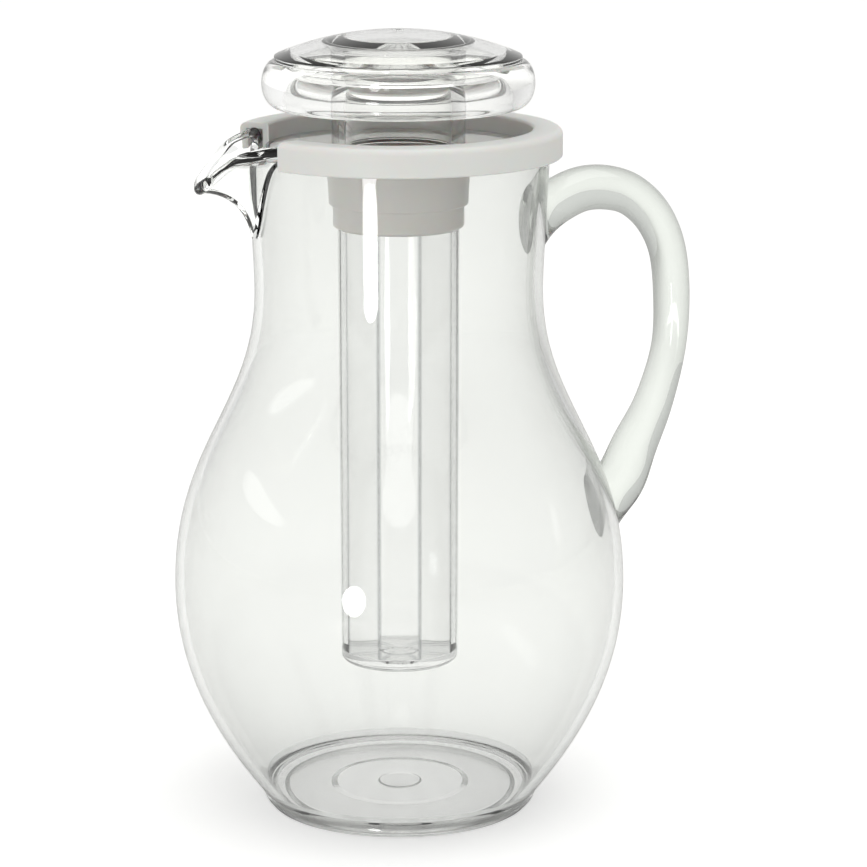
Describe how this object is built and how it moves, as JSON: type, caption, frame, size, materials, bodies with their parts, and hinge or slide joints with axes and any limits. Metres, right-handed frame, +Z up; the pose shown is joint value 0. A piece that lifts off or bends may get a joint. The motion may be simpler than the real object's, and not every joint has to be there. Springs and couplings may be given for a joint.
{
  "type": "pitcher with ice core",
  "caption": "Clear plastic pitcher with a pear-shaped body, side handle, drooping spout, clip-on rim ring and a domed lid that carries a screw-off ice tube.",
  "frame": {"origin": "the jug's axis, in the plane of the ring that the jug stands on", "axes": "+Z up along the jug's axis, +X towards the handle, -X towards the spout"},
  "size_m": [0.1727, 0.147, 0.2552],
  "materials": {
    "jug_plastic": "clear, glossy",
    "base_plastic": "clear, glossy",
    "handle_plastic": "clear, solid, glossy",
    "lid_plastic": "clear, glossy",
    "tube_plastic": "clear, glossy",
    "ring_plastic": "off-white, satin",
    "collar_plastic": "warm grey-white, satin",
    "silicone": "milky translucent silicone"
  },
  "bodies": {
    "jug": {"jug_body": "jug_plastic", "spout": "jug_plastic", "base_plate": "base_plastic", "handle": "handle_plastic", "rim_ring": "ring_plastic"},
    "lid_seat": {"lid_seal": "silicone"},
    "lid": {"seat_disc": "lid_plastic", "lid_dome": "lid_plastic", "lid_bowl": "lid_plastic", "core_socket": "collar_plastic", "core_washer": "silicone"},
    "ice_tube": {"core_tube": "tube_plastic"},
    "tube_nut": {"core_nut": "collar_plastic"}
  },
  "joints": [
    {"name": "lid_lift", "type": "slide", "parent": "jug", "child": "lid_seat", "axis": [0, 0, 1], "range_m": [0, 0.19]},
    {"name": "lid_turn", "type": "hinge", "parent": "lid_seat", "child": "lid", "pos_m": [0, 0, 0.2173], "axis": [0, 0, 1], "continuous": true},
    {"name": "tube_drop", "type": "slide", "parent": "lid", "child": "ice_tube", "axis": [0, 0, -1], "range_m": [0, 0.0068]},
    {"name": "nut_unscrew", "type": "hinge", "parent": "ice_tube", "child": "tube_nut", "pos_m": [0, 0, 0.199], "axis": [0, 0, -1], "range_deg": [0, 720]}
  ],
  "couplings": [
    {"joint": "nut_unscrew", "follows": "tube_drop", "rad_per_m": 1848}
  ]
}
